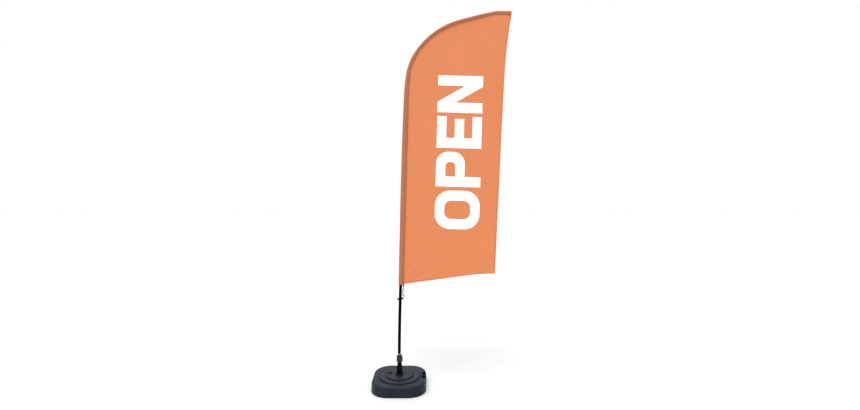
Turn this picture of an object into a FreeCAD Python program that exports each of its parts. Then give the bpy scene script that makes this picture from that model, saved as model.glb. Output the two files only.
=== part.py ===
import FreeCAD, Part
import Sketcher
import math
import os

# A feather flag about 3.1 m tall: a cloth flag with a pole sleeve, on a bent three-piece mast that
# turns on a spindle, held in a post on a square water-filled tank. Millimetres and degrees.
# The origin is the centre of the tank's underside, +Z is up, and the flag flies towards +X.

os.makedirs("parts", exist_ok=True)
doc = FreeCAD.newDocument("feather_flag")
sheet = doc.addObject("Spreadsheet::Sheet", "sizes")

SIZES = [
    # tank
    ("tank_side", 440),
    ("tank_corner", 140),
    ("tank_edge_height", 84),
    ("tank_draft", 2),
    ("tank_shoulder", 18),
    ("tank_foot_round", 6),
    ("tank_wall", 4),
    ("tank_roof", 6.5),
    ("hollow_shoulder", 12),
    ("hollow_foot_round", 5),
    ("terrace_hollow_inset", 5),
    ("terrace_hollow_low", 30),
    ("terrace_rise", 6),
    ("terrace_sink", 5),
    ("low_terrace_radius", 168),
    ("high_terrace_radius", 110),
    ("riser_groove_depth", 3),
    ("riser_groove_width", 9),
    ("well_radius", 22),
    ("well_floor", 6),
    ("foot_recess", 3),
    ("foot_rim", 26),
    ("foot_pad_radius", 34),
    # filler pocket and cap
    ("pocket_depth", 37),
    ("pocket_width", 124),
    ("pocket_floor", 50),
    ("pocket_corner", 12),
    ("pocket_open", 40),
    ("pocket_y", 11),
    ("filler_x", 203),
    ("neck_radius", 12.6),
    ("neck_bore_radius", 9.5),
    ("neck_height", 22),
    ("cap_radius", 17),
    ("cap_height", 23),
    ("cap_gap", 9),
    ("cap_rib_radius", 1.1),
    ("cap_ribs", 24),
    # vent plug
    ("vent_x", -80),
    ("vent_y", 18),
    ("vent_head_radius", 19),
    ("vent_dish_depth", 5),
    ("vent_stem_radius", 9),
    ("vent_play", 0.3),
    ("vent_dish_play", 1.5),
    # post
    ("flange_radius", 34),
    ("flange_thickness", 4.5),
    ("gasket_thickness", 1.5),
    ("post_radius", 24),
    ("post_top", 163),
    ("post_neck_radius", 17),
    ("post_neck_start", 180),
    ("post_neck_top", 214),
    ("shank_radius", 10),
    ("shank_bottom", 130),
    # bearing housing and spindle
    ("housing_radius", 17),
    ("housing_top", 242),
    ("bearing_outer", 14),
    ("bearing_inner", 6),
    ("bearing_width", 8),
    ("bearing_pitch", 10.2),
    ("ball_radius", 2.2),
    ("ball_play", 0.06),
    ("ball_count", 10),
    ("low_bearing", 218),
    ("bearing_gap", 4),
    ("spindle_radius", 6.8),
    ("spindle_tip_radius", 5),
    ("spindle_taper_start", 268),
    ("spindle_top", 396),
    # clamp nut
    ("nut_bottom", 198),
    ("nut_waist", 20),
    ("nut_radius", 25.6),
    ("nut_top_radius", 17.2),
    ("nut_top", 256),
    ("nut_hole_radius", 9.4),
    ("nut_thread_length", 7.5),
    ("nut_flutes", 14),
    ("nut_flute_radius", 2.6),
    ("washer_thickness", 1.3),
    # mast
    ("mast_bottom", 268),
    ("mast_foot_x", -2.5),
    ("mast_foot_lean", 0.4),
    ("mast_lean", 1.57),
    ("foot_bend_radius", 21000),
    ("straight_length", 1669),
    ("bend_1_radius", 1715),
    ("bend_1_end", 8.2),
    ("bend_2_radius", 443),
    ("bend_2_end", 32.8),
    ("bend_3_radius", 628),
    ("bend_3_end", 74.3),
    ("bend_4_radius", 3720),
    ("bend_4_end", 78.9),
    ("bend_5_radius", 150),
    ("tip_length", 111),
    ("lower_tube_radius", 12.5),
    ("lower_tube_bore", 10.5),
    ("lower_tube_length", 1130),
    ("middle_tube_radius", 9),
    ("middle_tube_bore", 7.5),
    ("middle_tube_top", 2130),
    ("tube_overlap", 70),
    ("rod_radius", 5),
    ("rod_top", 2920),
    ("tip_rod_radius", 3),
    ("tip_cap_radius", 6.5),
    ("tip_cap_wall", 1.8),
    ("tip_cap_grip", 14),
    ("tip_rod_end", 20),
    ("ferrule_wall", 1.5),
    ("ferrule_half", 40),
    ("collar_flange", 3),
    ("plug_length", 30),
    ("fit_gap", 0.05),
    # flag
    ("sleeve_radius", 15),
    ("sleeve_seam", 27),
    ("cloth", 0.8),
    ("sleeve_start", 567),
    ("sleeve_nose", 1.2),
    ("sleeve_end_gap", 3),
    ("pocket_length", 120),
    ("pocket_ease", 0.2),
    ("pocket_end_wall", 1.5),
    ("panel_start", 571),
    ("panel_tuck", 0.6),
    ("bottom_slope", 7.9),
    ("bottom_straight", 524),
    ("free_corner_x", 786),
    ("free_corner_z", 926),
    ("free_lean", 2.75),
    ("free_straight", 1590),
    # tension ring, hook, elastic loop and corner tab
    ("ring_distance", 448),
    ("ring_radius", 27.5),
    ("ring_bore", 13.6),
    ("ring_thickness", 7),
    ("ring_tilt", 6),
    ("tether_x", 31),
    ("lug_height", 738),
    ("lug_radius", 8),
    ("lug_hole", 4.2),
    ("lug_width", 4),
    ("hook_low", 745),
    ("hook_high", 793),
    ("hook_half", 5.5),
    ("wire_radius", 2),
    ("gate_pivot", 788),
    ("gate_tip", 757.6),
    ("gate_pin_radius", 0.8),
    ("gate_pin_length", 7.2),
    ("gate_half_width", 3.1),
    ("gate_cheek", 0.9),
    ("gate_cheek_height", 8.4),
    ("gate_cheek_width", 3.6),
    ("gate_drop", 6.6),
    ("elastic_radius", 2),
    ("elastic_half", 4.4),
    ("crimp_low", 812),
    ("crimp_height", 8),
    ("crimp_wall", 1),
    ("crimp_corner", 2.2),
    ("tab_low", 823),
    ("tab_high", 858),
    ("tab_width", 14),
    ("tab_thickness", 2.6),
    ("tab_hole", 834),
]
for row, (alias, number) in enumerate(SIZES, start=1):
    sheet.set(f"A{row}", alias)
    sheet.set(f"B{row}", str(number))
    sheet.setAlias(f"B{row}", alias)
doc.recompute()


def size(alias):
    """The number that the sheet holds under an alias."""
    return float(sheet.get(alias))


def bind(item, **formulas):
    """Drives each property of an object by a formula on the sheet."""
    for name, formula in formulas.items():
        item.setExpression(name, formula)
    return item


def cylinder(name, radius, height, place=None):
    """A cylinder whose radius and height are formulas, stood at a place."""
    rod = bind(doc.addObject("Part::Cylinder", name), Radius=radius, Height=height)
    rod.Placement = place or FreeCAD.Placement()
    return rod


def at(x=0.0, y=0.0, z=0.0):
    """A placement moved without turning."""
    return FreeCAD.Placement(FreeCAD.Vector(x, y, z), FreeCAD.Rotation())


def cut(label, base, *tools):
    """Base less every tool, under a label of its own."""
    tool = tools[0]
    if len(tools) > 1:
        tool = join(label + "_tools", *tools)
    result = doc.addObject("Part::Cut", label)
    result.Base = base
    result.Tool = tool
    return result


def join(label, *pieces):
    """Several shapes fused into one."""
    result = doc.addObject("Part::MultiFuse", label)
    result.Shapes = list(pieces)
    return result


def gather(label, *pieces):
    """Several separate solids kept together in one node."""
    result = doc.addObject("Part::Compound", label)
    result.Links = list(pieces)
    return result


def feature(label, shape):
    """A shape worked out from the sheet by Part's own functions."""
    result = doc.addObject("Part::Feature", label)
    result.Shape = shape
    return result


def origin_plane(body, role):
    """One of a body's own three origin planes."""
    return next(item for item in body.Origin.OriginFeatures if item.Role == role)


def outline(body, role, corners):
    """A closed sketch whose corners are (across, up) formulas, each held by its own constraints."""
    sketch = body.newObject("Sketcher::SketchObject", body.Name + "_outline")
    sketch.AttachmentSupport = [(origin_plane(body, role), "")]
    sketch.MapMode = "FlatFace"
    places = [[float(sketch.evalExpression(formula)) for formula in corner] for corner in corners]
    for index, place in enumerate(places):
        after = places[(index + 1) % len(places)]
        start = FreeCAD.Vector(place[0], place[1], 0)
        sketch.addGeometry(Part.LineSegment(start, FreeCAD.Vector(after[0], after[1], 0)))
    for index in range(len(places)):
        following = (index + 1) % len(places)
        sketch.addConstraint(Sketcher.Constraint("Coincident", index, 2, following, 1))
    kinds = [("DistanceX", -2), ("DistanceY", -1)]
    for index, corner in enumerate(corners):
        for (kind, axis), formula, number in zip(kinds, corner, places[index], strict=True):
            if number == 0:
                sketch.addConstraint(Sketcher.Constraint("PointOnObject", index, 1, axis))
                continue
            held = sketch.addConstraint(Sketcher.Constraint(kind, -1, 1, index, 1, number))
            sketch.setExpression(f"Constraints[{held}]", formula)
    return sketch


def turned(label, *corners):
    """A body made by turning an outline of (radius, height) formulas a full turn about Z."""
    body = doc.addObject("PartDesign::Body", label)
    turn = body.newObject("PartDesign::Revolution", label + "_turn")
    turn.Profile = outline(body, "XZ_Plane", corners)
    turn.ReferenceAxis = (turn.Profile[0], ["V_Axis"])
    turn.Angle = 360
    return body


def flutes(body, ring_radius, radius, low, high, count):
    """Cuts a ring of equal upright round flutes into a body."""
    doc.recompute()
    before = body.Shape.Volume
    sketch = body.newObject("Sketcher::SketchObject", body.Name + "_flute_outline")
    sketch.AttachmentSupport = [(origin_plane(body, "XY_Plane"), "")]
    sketch.MapMode = "FlatFace"
    bind(sketch, **{"AttachmentOffset.Base.z": low})
    middle = FreeCAD.Vector(float(sketch.evalExpression(ring_radius)), 0, 0)
    width = float(sketch.evalExpression(radius))
    sketch.addGeometry(Part.Circle(middle, FreeCAD.Vector(0, 0, 1), width))
    sketch.addConstraint(Sketcher.Constraint("PointOnObject", 0, 3, -1))
    held = sketch.addConstraint(Sketcher.Constraint("DistanceX", -1, 1, 0, 3, middle.x))
    sketch.setExpression(f"Constraints[{held}]", ring_radius)
    held = sketch.addConstraint(Sketcher.Constraint("Radius", 0, width))
    sketch.setExpression(f"Constraints[{held}]", radius)
    pocket = body.newObject("PartDesign::Pocket", body.Name + "_flute")
    pocket.Profile = sketch
    pocket.Reversed = True
    bind(pocket, Length=f"{high} - ({low})")
    body.Tip = pocket
    doc.recompute()
    pattern = body.newObject("PartDesign::PolarPattern", body.Name + "_flutes")
    pattern.Originals = [pocket]
    pattern.Axis = (sketch, ["N_Axis"])
    pattern.Angle = 360
    bind(pattern, Occurrences=count)
    body.Tip = pattern
    doc.recompute()
    if body.Shape.Volume > before - 1:
        raise RuntimeError(body.Label + " flutes cut nothing")


# ---------------------------------------------------------------- the mast's centre line


def mast_pieces():
    """The centre line's pieces from the foot up: (length, lean at its start, lean at its end)."""
    leans = [size("mast_foot_lean"), size("mast_lean")]
    pieces = [(arc_length(size("foot_bend_radius"), *leans), *leans)]
    pieces.append((size("straight_length"), leans[1], leans[1]))
    start = leans[1]
    for number in range(1, 5):
        end = size(f"bend_{number}_end")
        pieces.append((arc_length(size(f"bend_{number}_radius"), start, end), start, end))
        start = end
    pieces.append((arc_length(size("bend_5_radius"), start, 90), start, 90))
    pieces.append((size("tip_length"), 90, 90))
    return pieces


def arc_length(radius, start, end):
    """Length of an arc that turns from one lean to another."""
    return radius * math.radians(end - start)


def heading(lean):
    """The unit vector that leans from upright towards +X by an angle in degrees."""
    return FreeCAD.Vector(math.sin(math.radians(lean)), 0, math.cos(math.radians(lean)))


def inward(lean):
    """The unit vector square to the heading, on the flag's side of the mast."""
    return FreeCAD.Vector(math.cos(math.radians(lean)), 0, -math.sin(math.radians(lean)))


def along(piece, start, distance):
    """Place and lean at a distance along one piece that starts at a place."""
    length, lean, end = piece
    if lean == end:
        return start + heading(lean) * distance, lean
    radius = length / math.radians(end - lean)
    here = lean + math.degrees(distance / radius)
    return start + (inward(lean) - inward(here)) * radius, here


def mast_at(distance, inset=0.0):
    """Place and lean on the mast at a distance from its foot, inset towards the flag."""
    place = FreeCAD.Vector(size("mast_foot_x"), 0, size("mast_bottom"))
    for piece in PIECES:
        if distance <= piece[0] + 1e-9 or piece is PIECES[-1]:
            place, lean = along(piece, place, distance)
            return place + inward(lean) * inset, lean
        distance -= piece[0]
        place = along(piece, place, piece[0])[0]


def run(low, high, inset=0.0):
    """The edges of the mast's centre line between two distances, inset towards the flag."""
    edges = []
    start = 0.0
    for length, lean, end in PIECES:
        first, last = max(low, start), min(high, start + length)
        start += length
        if last - first < 1e-6:
            continue
        ends = [mast_at(first, inset)[0], mast_at(last, inset)[0]]
        if lean == end:
            edges.append(Part.LineSegment(*ends).toShape())
        else:
            middle = mast_at((first + last) / 2, inset)[0]
            edges.append(Part.Arc(ends[0], middle, ends[1]).toShape())
    return edges


def sweep(section, low, high):
    """A section, drawn at the low end, carried along the mast with its sides square to Y."""
    shell = Part.BRepOffsetAPI.MakePipeShell(Part.Wire(run(low, high)))
    shell.setBiNormalMode(FreeCAD.Vector(0, 1, 0))
    shell.add(section)
    shell.build()
    shell.makeSolid()
    solid = shell.shape()
    return solid if solid.Volume > 0 else solid.reversed()


def ring_section(radius, distance):
    """A circle square to the mast at a distance from its foot."""
    place, lean = mast_at(distance)
    return Part.Wire(Part.Circle(place, heading(lean), radius).toShape())


def rod(radius, low, high):
    """A solid rod of one radius along the mast."""
    solid = sweep(ring_section(radius, low), low, high)
    whole = math.pi * radius**2 * (high - low)
    if abs(solid.Volume / whole - 1) > 0.01:
        raise RuntimeError(f"rod from {low} to {high} has the wrong volume")
    return solid


def tube(radius, bore, low, high):
    """A hollow tube along the mast."""
    return rod(radius, low, high).cut(rod(bore, low - 0.001, high + 0.001))


def sleeve_section(radius, seam, distance):
    """A teardrop round the mast: round on the outer side, closing to a seam on the flag's side."""
    place, lean = mast_at(distance)
    side, across = inward(lean), FreeCAD.Vector(0, 1, 0)
    nose = size("sleeve_nose")
    turn = math.acos((radius - nose) / (seam - nose))

    def on(centre, reach, angle):
        return place + side * (centre + reach * math.cos(angle)) + across * (reach * math.sin(angle))

    upper = Part.LineSegment(on(0, radius, turn), on(seam - nose, nose, turn))
    tip = Part.Arc(on(seam - nose, nose, turn), on(seam - nose, nose, 0), on(seam - nose, nose, -turn))
    lower = Part.LineSegment(on(seam - nose, nose, -turn), on(0, radius, -turn))
    back = Part.Arc(on(0, radius, -turn), on(0, radius, math.pi), on(0, radius, turn))
    return Part.Wire([edge.toShape() for edge in (upper, tip, lower, back)])


PIECES = mast_pieces()
MAST_LENGTH = sum(piece[0] for piece in PIECES)

# ---------------------------------------------------------------- water tank


def rounded_block(label, shrink, low, high, shoulder, foot):
    """A drafted block with round corners and rounded top and bottom edges."""
    body = doc.addObject("PartDesign::Body", label)
    sketch = body.newObject("Sketcher::SketchObject", label + "_outline")
    sketch.AttachmentSupport = [(origin_plane(body, "XY_Plane"), "")]
    sketch.MapMode = "FlatFace"
    bind(sketch, **{"AttachmentOffset.Base.z": low})
    half = float(sketch.evalExpression(f"sizes.tank_side / 2 - ({shrink})"))
    corner = float(sketch.evalExpression(f"sizes.tank_corner - ({shrink})"))
    inner = half - corner
    starts = [(half, -inner), (inner, half), (-half, inner), (-inner, -half)]
    ends = [(half, inner), (-inner, half), (-half, -inner), (inner, -half)]
    for start, end in zip(starts, ends, strict=True):
        sketch.addGeometry(Part.LineSegment(FreeCAD.Vector(*start, 0), FreeCAD.Vector(*end, 0)))
    middles = [(inner, inner), (-inner, inner), (-inner, -inner), (inner, -inner)]
    for number, middle in enumerate(middles):
        round_corner = Part.Circle(FreeCAD.Vector(*middle, 0), FreeCAD.Vector(0, 0, 1), corner)
        start = math.pi / 2 * number
        sketch.addGeometry(Part.ArcOfCircle(round_corner, start, start + math.pi / 2))
    for number in range(4):
        sketch.addConstraint(Sketcher.Constraint("Tangent", number, 2, 4 + number, 1))
        sketch.addConstraint(Sketcher.Constraint("Tangent", 4 + number, 2, (number + 1) % 4, 1))
    for number, kind in enumerate(("Vertical", "Horizontal", "Vertical", "Horizontal")):
        sketch.addConstraint(Sketcher.Constraint(kind, number))
    for number in range(5, 8):
        sketch.addConstraint(Sketcher.Constraint("Equal", 4, number))
    held = sketch.addConstraint(Sketcher.Constraint("Radius", 4, corner))
    sketch.setExpression(f"Constraints[{held}]", f"sizes.tank_corner - ({shrink})")
    for number in range(4):
        kind = ("DistanceX", "DistanceY")[number % 2]
        sign = 1 if number < 2 else -1
        held = sketch.addConstraint(Sketcher.Constraint(kind, -1, 1, number, 1, sign * half))
        sketch.setExpression(f"Constraints[{held}]", f"{sign} * (sizes.tank_side / 2 - ({shrink}))")
    pad = body.newObject("PartDesign::Pad", label + "_pad")
    pad.Profile = sketch
    bind(pad, Length=f"{high} - ({low})", TaperAngle="-sizes.tank_draft")
    doc.recompute()
    for name, level, radius in (("shoulder", high, shoulder), ("foot", low, foot)):
        height = float(body.evalExpression(level))
        base = body.Tip
        names = [
            f"Edge{number}"
            for number, edge in enumerate(base.Shape.Edges, start=1)
            if max(abs(corner.Z - height) for corner in edge.Vertexes) < 1e-4
        ]
        fillet = body.newObject("PartDesign::Fillet", f"{label}_{name}")
        fillet.Base = (base, names)
        bind(fillet, Radius=radius)
        doc.recompute()
    return body


def pocket_block(label, grow, floor):
    """The filler pocket's space, open at the tank's top and at its right side, with round corners."""
    block = bind(
        doc.addObject("Part::Box", label + "_block"),
        Length=f"sizes.pocket_depth + sizes.pocket_open + ({grow})",
        Width=f"sizes.pocket_width + 2 * ({grow})",
        Height=f"sizes.tank_edge_height + sizes.pocket_open - ({floor})",
    )
    bind(
        block,
        **{
            "Placement.Base.x": f"sizes.tank_side / 2 - sizes.pocket_depth - ({grow})",
            "Placement.Base.y": f"sizes.pocket_y - sizes.pocket_width / 2 - ({grow})",
            "Placement.Base.z": floor,
        },
    )
    doc.recompute()
    fillet = doc.addObject("Part::Fillet", label)
    fillet.Base = block
    radius = size("pocket_corner") + float(block.evalExpression(grow))
    left = block.Placement.Base.x
    edges = [
        (number, radius, radius)
        for number, edge in enumerate(block.Shape.Edges, start=1)
        if abs(edge.Vertexes[0].X - left) < 1e-6
        and abs(edge.Vertexes[1].X - left) < 1e-6
        and abs(edge.Vertexes[0].Z - edge.Vertexes[1].Z) > 1
    ]
    fillet.Edges = edges
    return fillet


edge_top = "sizes.tank_edge_height"
low_top = "sizes.tank_edge_height + sizes.terrace_rise"
high_top = "sizes.tank_edge_height + 2 * sizes.terrace_rise"
tank_block = rounded_block(
    "tank_block", "0", "0", edge_top, "sizes.tank_shoulder", "sizes.tank_foot_round"
)


def terrace(label, radius, top, base):
    """A round raised step, with a softened top edge."""
    return turned(
        label,
        ("0", base),
        (f"{radius} + 1.5", base),
        (f"{radius} - 0.6", f"{top} - 1.4"),
        (f"{radius} - 2.2", top),
        ("0", top),
    )


def riser_groove(label, radius, level):
    """The shallow moulded groove that runs round the foot of a riser."""
    return turned(
        label,
        (f"{radius} + 1.4", f"{level} + 1"),
        (f"{radius} + 1.6", f"{level} - sizes.riser_groove_depth"),
        (f"{radius} + 4.2", f"{level} - sizes.riser_groove_depth"),
        (f"{radius} + sizes.riser_groove_width", level),
        (f"{radius} + sizes.riser_groove_width", f"{level} + 1"),
    )


low_step = terrace(
    "low_terrace", "sizes.low_terrace_radius", low_top, f"{edge_top} - sizes.terrace_sink"
)
high_step = terrace(
    "high_terrace", "sizes.high_terrace_radius", high_top, f"{low_top} - sizes.terrace_sink"
)
tank_solid = join("tank_solid", tank_block, low_step, high_step)
grooves = [
    riser_groove("low_groove", "sizes.low_terrace_radius", edge_top),
    riser_groove("high_groove", "sizes.high_terrace_radius", low_top),
]
well = cylinder("well", "sizes.well_radius", "200", at(z=size("well_floor")))
foot_ring = turned(
    "foot_ring",
    ("sizes.foot_pad_radius", "-1"),
    ("sizes.tank_side / 2 - sizes.foot_rim", "-1"),
    ("sizes.tank_side / 2 - sizes.foot_rim - 2", "sizes.foot_recess"),
    ("sizes.foot_pad_radius + 2", "sizes.foot_recess"),
)
filler_pocket = pocket_block("filler_pocket", "0", "sizes.pocket_floor")
filler_x, filler_y = size("filler_x"), size("pocket_y")
neck_base = size("pocket_floor")
vent_x, vent_y = size("vent_x"), size("vent_y")
tank_top = size("tank_edge_height") + 2 * size("terrace_rise")
dish_floor_z = tank_top - size("vent_dish_depth")
vent_dish_radius = "sizes.vent_head_radius + sizes.vent_dish_play"
vent_dish = cylinder("vent_dish", vent_dish_radius, "20", at(vent_x, vent_y, dish_floor_z))
vent_hole_radius = "sizes.vent_stem_radius + sizes.vent_play"
vent_hole = cylinder("vent_hole", vent_hole_radius, "30", at(vent_x, vent_y, dish_floor_z - 15))

# The hollow follows the outside a wall's thickness in, and leaves out the well, pocket and dish.
wall = "sizes.tank_wall"
hollow_block = rounded_block(
    "hollow_block",
    wall,
    "sizes.foot_recess + sizes.tank_wall",
    f"{edge_top} - sizes.tank_roof",
    "sizes.hollow_shoulder",
    "sizes.hollow_foot_round",
)


def terrace_hollow(label, radius, top):
    """The round part of the hollow that rises under a terrace."""
    return cylinder(
        label,
        f"{radius} - sizes.terrace_hollow_inset",
        f"{top} - sizes.tank_roof - sizes.terrace_hollow_low",
        at(z=size("terrace_hollow_low")),
    )


hollow_low = terrace_hollow("hollow_low", "sizes.low_terrace_radius", low_top)
hollow_high = terrace_hollow("hollow_high", "sizes.high_terrace_radius", high_top)
hollow_whole = join("hollow_whole", hollow_block, hollow_low, hollow_high)
well_wall = cylinder("well_wall", "sizes.well_radius + sizes.tank_wall", "200", at(z=-50))
pocket_wall = pocket_block("pocket_wall", wall, "sizes.pocket_floor - sizes.tank_wall")
dish_wall = cylinder(
    "dish_wall",
    f"{vent_dish_radius} + sizes.tank_wall",
    "30",
    at(vent_x, vent_y, dish_floor_z - size("tank_wall")),
)
hollow = cut("tank_hollow", hollow_whole, well_wall, pocket_wall, dish_wall)
openings = [well, foot_ring, filler_pocket, vent_dish]
tank_shell = cut("tank_shell", tank_solid, *grooves, *openings, hollow)
neck_place = at(filler_x, filler_y, neck_base - 2)
filler_neck = cylinder("filler_neck", "sizes.neck_radius", "sizes.neck_height + 2", neck_place)
bore_place = at(filler_x, filler_y, neck_base - 10)
filler_bore = cylinder("filler_bore", "sizes.neck_bore_radius", "60", bore_place)
tank_with_neck = join("tank_with_neck", tank_shell, filler_neck)
water_tank = cut("water_tank", tank_with_neck, filler_bore, vent_hole)

# ---------------------------------------------------------------- filler cap, its seal and the vent plug

neck_top = "sizes.pocket_floor + sizes.neck_height"
seal = turned(
    "cap_seal",
    ("sizes.neck_bore_radius", f"{neck_top} + 0.05"),
    ("sizes.neck_radius - 0.2", f"{neck_top} + 0.05"),
    ("sizes.neck_radius - 0.2", f"{neck_top} + 1.95"),
    ("sizes.neck_bore_radius", f"{neck_top} + 1.95"),
)
seal.Placement = at(filler_x, filler_y)
cap_base = "(sizes.pocket_floor + sizes.cap_gap)"
filler_cap = turned(
    "filler_cap",
    ("sizes.neck_radius + 0.4", cap_base),
    ("sizes.cap_radius", cap_base),
    ("sizes.cap_radius", f"{cap_base} + sizes.cap_height - 2.5"),
    ("sizes.cap_radius - 2.5", f"{cap_base} + sizes.cap_height"),
    ("sizes.cap_radius - 5", f"{cap_base} + sizes.cap_height"),
    ("sizes.cap_radius - 6", f"{cap_base} + sizes.cap_height - 1.5"),
    ("0", f"{cap_base} + sizes.cap_height - 1.5"),
    ("0", f"{neck_top} + 2"),
    ("sizes.neck_radius + 0.4", f"{neck_top} + 2"),
)
flutes(
    filler_cap,
    "sizes.cap_radius + 0.3",
    "sizes.cap_rib_radius",
    f"{cap_base} + 2",
    f"{cap_base} + sizes.cap_height + 1",
    "sizes.cap_ribs",
)
filler_cap.Placement = at(filler_x, filler_y)

dish_floor = "(sizes.tank_edge_height + 2 * sizes.terrace_rise - sizes.vent_dish_depth)"
vent_plug = turned(
    "vent_plug",
    ("0", f"{dish_floor} - 12"),
    ("sizes.vent_stem_radius - 2.5", f"{dish_floor} - 12"),
    ("sizes.vent_stem_radius", f"{dish_floor} - 8"),
    ("sizes.vent_stem_radius", f"{dish_floor} + 0.05"),
    ("sizes.vent_head_radius", f"{dish_floor} + 0.05"),
    ("sizes.vent_head_radius", f"{dish_floor} + 2.4"),
    ("sizes.vent_head_radius - 1.6", f"{dish_floor} + 3.8"),
    ("sizes.vent_head_radius - 5", f"{dish_floor} + 3.8"),
    ("sizes.vent_head_radius - 6.5", f"{dish_floor} + 2"),
    ("0", f"{dish_floor} + 2"),
)
vent_plug.Placement = at(vent_x, vent_y)

# ---------------------------------------------------------------- post

flange_base = f"({high_top} + sizes.gasket_thickness)"
post_gasket = turned(
    "post_gasket",
    ("sizes.well_radius + 0.5", f"{high_top}"),
    ("sizes.flange_radius - 0.6", f"{high_top}"),
    ("sizes.flange_radius - 0.6", flange_base),
    ("sizes.well_radius + 0.5", flange_base),
)
pole_post = turned(
    "pole_post",
    ("0", "sizes.well_floor + 1"),
    ("sizes.well_radius - 1.8", "sizes.well_floor + 1"),
    ("sizes.well_radius - 0.3", "sizes.well_floor + 3"),
    ("sizes.well_radius - 0.3", flange_base),
    ("sizes.flange_radius", flange_base),
    ("sizes.flange_radius", f"{flange_base} + sizes.flange_thickness - 1.5"),
    ("sizes.flange_radius - 2", f"{flange_base} + sizes.flange_thickness"),
    ("sizes.post_radius + 3", f"{flange_base} + sizes.flange_thickness"),
    ("sizes.post_radius", f"{flange_base} + sizes.flange_thickness + 4"),
    ("sizes.post_radius", "sizes.post_top - 4"),
    ("sizes.post_radius - 1.6", "sizes.post_top + 2"),
    ("sizes.post_neck_radius + 1.4", "sizes.post_neck_start - 3"),
    ("sizes.post_neck_radius", "sizes.post_neck_start"),
    ("sizes.post_neck_radius", "sizes.post_neck_top"),
    ("sizes.shank_radius + sizes.fit_gap", "sizes.post_neck_top"),
    ("sizes.shank_radius + sizes.fit_gap", "sizes.shank_bottom - 8"),
    ("0", "sizes.shank_bottom - 8"),
)

# ---------------------------------------------------------------- bearing housing and its bearings

bearing_top = "(sizes.low_bearing + 2 * sizes.bearing_width + sizes.bearing_gap)"
bearing_housing = turned(
    "bearing_housing",
    ("0", "sizes.shank_bottom"),
    ("sizes.shank_radius - 1.5", "sizes.shank_bottom"),
    ("sizes.shank_radius", "sizes.shank_bottom + 1.5"),
    ("sizes.shank_radius", "sizes.post_neck_top"),
    ("sizes.housing_radius - 0.5", "sizes.post_neck_top"),
    ("sizes.housing_radius", "sizes.post_neck_top + 0.5"),
    ("sizes.housing_radius", "sizes.housing_top"),
    ("sizes.bearing_outer", "sizes.housing_top"),
    ("sizes.bearing_outer", f"{bearing_top} + 1.8"),
    ("sizes.bearing_outer + 1", f"{bearing_top} + 1.8"),
    ("sizes.bearing_outer + 1", f"{bearing_top} + 0.4"),
    ("sizes.bearing_outer", f"{bearing_top} + 0.4"),
    ("sizes.bearing_outer", "sizes.low_bearing"),
    ("sizes.bearing_outer - 2.5", "sizes.low_bearing"),
    ("sizes.bearing_outer - 2.5", "sizes.post_neck_top + 1"),
    ("0", "sizes.post_neck_top + 1"),
)


def race(label, inner, outer, base):
    """A bearing ring whose ball groove is a torus cut into the side that faces the balls."""
    low = float(sheet.evalExpression(base))
    blank = cylinder(label + "_blank", outer, "sizes.bearing_width", at(z=low))
    bore = cylinder(label + "_bore", inner, "sizes.bearing_width", at(z=low))
    ring = cut(label + "_ring", blank, bore)
    groove = bind(
        doc.addObject("Part::Torus", label + "_groove"),
        Radius1="sizes.bearing_pitch",
        Radius2="sizes.ball_radius + sizes.ball_play",
    )
    groove.Placement = at(z=low + size("bearing_width") / 2)
    grooved = cut(label, ring, groove)
    doc.recompute()
    if grooved.Shape.Volume > ring.Shape.Volume - 1:
        raise RuntimeError(label + " has no ball groove")
    return grooved


bases = ["sizes.low_bearing", "sizes.low_bearing + sizes.bearing_width + sizes.bearing_gap"]
outer_walls = ("sizes.bearing_outer - 2.4", "sizes.bearing_outer - 0.01")
inner_walls = ("sizes.bearing_inner + 0.01", "sizes.bearing_inner + 2.8")
outer_races = gather(
    "outer_races",
    *[race(f"outer_race_{n}", *outer_walls, base) for n, base in enumerate(bases, start=1)],
)
inner_races = gather(
    "inner_races",
    *[race(f"inner_race_{n}", *inner_walls, base) for n, base in enumerate(bases, start=1)],
)
balls = []
pitch = size("bearing_pitch")
ball_levels = [float(sheet.evalExpression(f"{base} + sizes.bearing_width / 2")) for base in bases]
for level in ball_levels:
    for number in range(int(size("ball_count"))):
        turn = 2 * math.pi * number / size("ball_count")
        ball = bind(doc.addObject("Part::Sphere", f"ball_{len(balls)}"), Radius="sizes.ball_radius")
        ball.Placement = at(pitch * math.cos(turn), pitch * math.sin(turn), level)
        balls.append(ball)
bearing_balls = gather("bearing_balls", *balls)
race_spacer = turned(
    "race_spacer",
    ("sizes.bearing_outer - 1.8", "sizes.low_bearing + sizes.bearing_width"),
    ("sizes.bearing_outer - 0.1", "sizes.low_bearing + sizes.bearing_width"),
    ("sizes.bearing_outer - 0.1", "sizes.low_bearing + sizes.bearing_width + sizes.bearing_gap"),
    ("sizes.bearing_outer - 1.8", "sizes.low_bearing + sizes.bearing_width + sizes.bearing_gap"),
)


def circlip(label, inner, outer, base, thickness, gap):
    """A retaining ring with a gap in it."""
    ring = turned(
        label + "_ring",
        (inner, base),
        (outer, base),
        (outer, f"{base} + {thickness}"),
        (inner, f"{base} + {thickness}"),
    )
    slot = bind(doc.addObject("Part::Box", label + "_slot"), Length="40", Width=gap, Height="6")
    bind(
        slot,
        **{
            "Placement.Base.x": "0",
            "Placement.Base.y": f"-({gap}) / 2",
            "Placement.Base.z": f"{base} - 2",
        },
    )
    return cut(label, ring, slot)


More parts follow.
